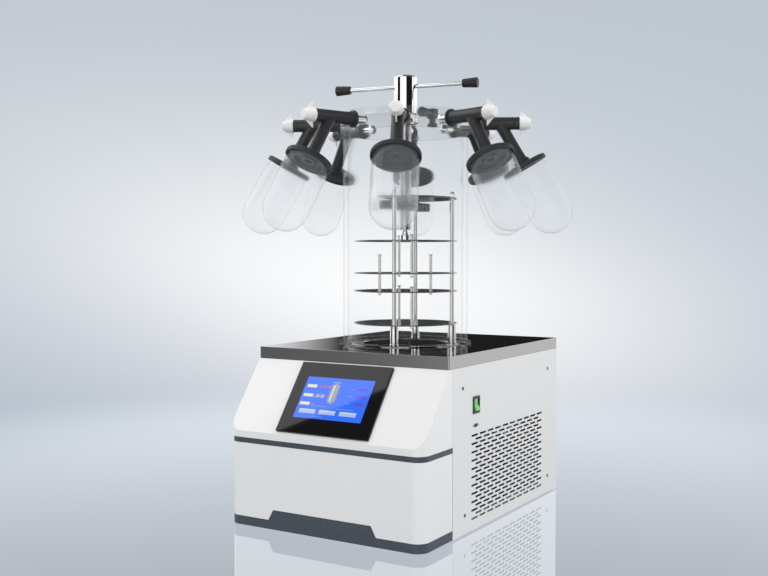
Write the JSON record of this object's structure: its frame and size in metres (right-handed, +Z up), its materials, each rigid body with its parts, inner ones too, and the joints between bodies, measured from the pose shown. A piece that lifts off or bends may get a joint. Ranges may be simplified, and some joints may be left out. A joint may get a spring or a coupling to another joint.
{
  "type": "freeze dryer",
  "caption": "Bench-top freeze dryer with a clear drying chamber, a stoppering rack pressed by a screw handle, and a ring of valved flasks round the head.",
  "frame": {"origin": "on the floor, on the axis of the drying chamber, which is the middle of the outer box", "axes": "+Z up along the chamber axis, -Y towards the touch panel, +X towards the side with the power switch"},
  "size_m": [0.658, 0.658, 0.8959],
  "materials": {
    "front_white": "satin",
    "trim_slate": "satin",
    "panel_grey": "powder coat",
    "pan_steel": "brushed",
    "tray_steel": "matt",
    "touch_panel": "gloss",
    "switch_black": "satin",
    "switch_green": "translucent",
    "trap_steel": "brushed",
    "copper": "drawn",
    "compressor_can": "black paint",
    "condenser_fins": "mill",
    "fan_plastic": "matt",
    "seal_silicone": "translucent",
    "clear_acrylic": "polished",
    "flask_glass": "fire polished",
    "valve_black": "satin",
    "knob_white": "frosted",
    "press_chrome": "polished",
    "vent_black": "satin",
    "rack_steel": "polished",
    "shelf_steel": "polished",
    "bridge_black": "gloss"
  },
  "bodies": {
    "root": {"base_pan": "tray_steel", "upper_front_shroud": "front_white", "stripe_band": "trim_slate", "lower_front_panel": "front_white", "foot_trim": "trim_slate", "hmi_panel": "touch_panel", "side_panel_right": "panel_grey", "side_panel_left": "panel_grey", "rear_panel": "panel_grey", "top_pan": "pan_steel", "switch_frame": "switch_black", "cold_trap_well": "trap_steel", "evaporator_coil": "copper", "compressor": "compressor_can", "condenser": "condenser_fins", "vacuum_port": "trap_steel", "base_seal": "seal_silicone", "chamber_cylinder": "clear_acrylic", "manifold_head": "clear_acrylic", "screw_gland": "press_chrome", "rack_column_1": "rack_steel", "rack_column_2": "rack_steel", "rack_column_3": "rack_steel", "rack_top_plate": "shelf_steel", "rack_bridge": "bridge_black", "shelf_4": "shelf_steel", "vent_valve_body": "press_chrome", "valve_1": "valve_black", "valve_2": "valve_black", "valve_3": "valve_black", "valve_4": "valve_black", "valve_5": "valve_black", "valve_6": "valve_black", "valve_7": "valve_black", "valve_8": "valve_black", "flask_1": "flask_glass", "flask_2": "flask_glass", "flask_3": "flask_glass", "flask_4": "flask_glass", "flask_5": "flask_glass", "flask_6": "flask_glass", "flask_7": "flask_glass", "flask_8": "flask_glass"},
    "press_plate": {"press_foot": "rack_steel", "shelf_1": "shelf_steel"},
    "press_handle": {"press_screw": "press_chrome", "press_bar": "press_chrome"},
    "shelf_2_body": {"shelf_2": "shelf_steel"},
    "shelf_3_body": {"shelf_3": "shelf_steel"},
    "switch_body": {"switch_rocker": "switch_green"},
    "fan_body": {"condenser_fan": "fan_plastic"},
    "vent_knob_body": {"vent_valve_knob": "vent_black"},
    "knob_1_body": {"valve_knob_1": "knob_white"},
    "knob_2_body": {"valve_knob_2": "knob_white"},
    "knob_3_body": {"valve_knob_3": "knob_white"},
    "knob_4_body": {"valve_knob_4": "knob_white"},
    "knob_5_body": {"valve_knob_5": "knob_white"},
    "knob_6_body": {"valve_knob_6": "knob_white"},
    "knob_7_body": {"valve_knob_7": "knob_white"},
    "knob_8_body": {"valve_knob_8": "knob_white"}
  },
  "joints": [
    {"name": "press_travel", "type": "slide", "parent": "root", "child": "press_plate", "axis": [0, 0, 1], "range_m": [0, 0.028]},
    {"name": "press_turn", "type": "hinge", "parent": "press_plate", "child": "press_handle", "pos_m": [0, 0, 0.85], "axis": [0, 0, 1], "range_deg": [0, 2520]},
    {"name": "shelf_2_lift", "type": "slide", "parent": "root", "child": "shelf_2_body", "axis": [0, 0, 1], "range_m": [0, 0.019]},
    {"name": "shelf_3_lift", "type": "slide", "parent": "root", "child": "shelf_3_body", "axis": [0, 0, 1], "range_m": [0, 0.005]},
    {"name": "switch_rock", "type": "hinge", "parent": "root", "child": "switch_body", "pos_m": [0.2163, -0.1048, 0.2405], "axis": [0, 1, 0], "range_deg": [0, 16]},
    {"name": "fan_spin", "type": "hinge", "parent": "root", "child": "fan_body", "pos_m": [0.166, 0.04735, 0.0803], "axis": [1, 0, 0], "continuous": true},
    {"name": "vent_turn", "type": "hinge", "parent": "root", "child": "vent_knob_body", "pos_m": [0.017, 0.086, 0.8281], "axis": [-0.1736, -0.9848, 0], "range_deg": [0, 360]},
    {"name": "valve_1_turn", "type": "hinge", "parent": "root", "child": "knob_1_body", "pos_m": [0.10521, -0.21571, 0.7956], "axis": [0.4384, -0.8988, 0], "range_deg": [0, 180]},
    {"name": "valve_2_turn", "type": "hinge", "parent": "root", "child": "knob_2_body", "pos_m": [0.22692, -0.07814, 0.7956], "axis": [0.9455, -0.3256, 0], "range_deg": [0, 180]},
    {"name": "valve_3_turn", "type": "hinge", "parent": "root", "child": "knob_3_body", "pos_m": [0.21571, 0.10521, 0.7956], "axis": [0.8988, 0.4384, 0], "range_deg": [0, 180]},
    {"name": "valve_4_turn", "type": "hinge", "parent": "root", "child": "knob_4_body", "pos_m": [0.07814, 0.22692, 0.7956], "axis": [0.3256, 0.9455, 0], "range_deg": [0, 180]},
    {"name": "valve_5_turn", "type": "hinge", "parent": "root", "child": "knob_5_body", "pos_m": [-0.10521, 0.21571, 0.7956], "axis": [-0.4384, 0.8988, 0], "range_deg": [0, 180]},
    {"name": "valve_6_turn", "type": "hinge", "parent": "root", "child": "knob_6_body", "pos_m": [-0.22692, 0.07814, 0.7956], "axis": [-0.9455, 0.3256, 0], "range_deg": [0, 180]},
    {"name": "valve_7_turn", "type": "hinge", "parent": "root", "child": "knob_7_body", "pos_m": [-0.21571, -0.10521, 0.7956], "axis": [-0.8988, -0.4384, 0], "range_deg": [0, 180]},
    {"name": "valve_8_turn", "type": "hinge", "parent": "root", "child": "knob_8_body", "pos_m": [-0.07814, -0.22692, 0.7956], "axis": [-0.3256, -0.9455, 0], "range_deg": [0, 180]}
  ],
  "couplings": [
    {"joint": "press_travel", "follows": "press_turn", "m_per_rad": 0.00063661},
    {"joint": "shelf_2_lift", "follows": "press_turn", "m_per_rad": 0.00043199},
    {"joint": "shelf_3_lift", "follows": "press_turn", "m_per_rad": 0.00011368}
  ]
}
